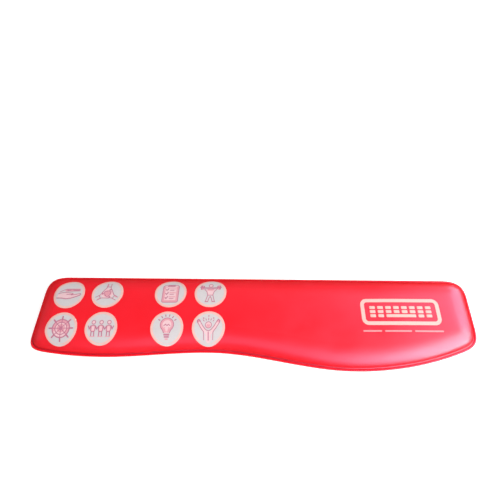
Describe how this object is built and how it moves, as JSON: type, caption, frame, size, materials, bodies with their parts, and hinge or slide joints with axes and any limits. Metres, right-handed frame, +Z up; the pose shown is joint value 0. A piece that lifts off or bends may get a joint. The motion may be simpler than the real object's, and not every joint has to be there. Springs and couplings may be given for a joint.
{
  "type": "keyboard wrist rest",
  "caption": "Long low gel wrist rest with a straight back edge, a wavy front edge, a welded flange and printed pictogram roundels, for use in front of a keyboard.",
  "frame": {"origin": "centre of the underside's outline, on the desk", "axes": "+X along the pad to the user's right, +Y away from the user towards the keyboard, +Z up"},
  "size_m": [0.4666, 0.1032, 0.0187],
  "materials": {
    "cover_red": "satin",
    "print_white": "satin",
    "print_line": "satin",
    "gel": "gloss",
    "gel_film": "gloss",
    "foam": "matte",
    "board": "matte",
    "adhesive": "satin",
    "base_rubber": "matte"
  },
  "bodies": {
    "root": {"base_sheet": "base_rubber", "base_adhesive_sheet": "adhesive", "stiffener_board": "board", "foam_adhesive_film": "adhesive", "foam_core": "foam", "gel_lower_film": "gel_film", "gel_core": "gel", "gel_upper_film": "gel_film", "cover_skin": "cover_red", "roundel_open_hand": "print_white", "roundel_joined_hands": "print_white", "roundel_checklist": "print_white", "roundel_barbell": "print_white", "roundel_helm_wheel": "print_white", "roundel_people_row": "print_white", "roundel_light_bulb": "print_white", "roundel_raised_hands": "print_white", "end_sign": "print_white"}
  },
  "joints": []
}
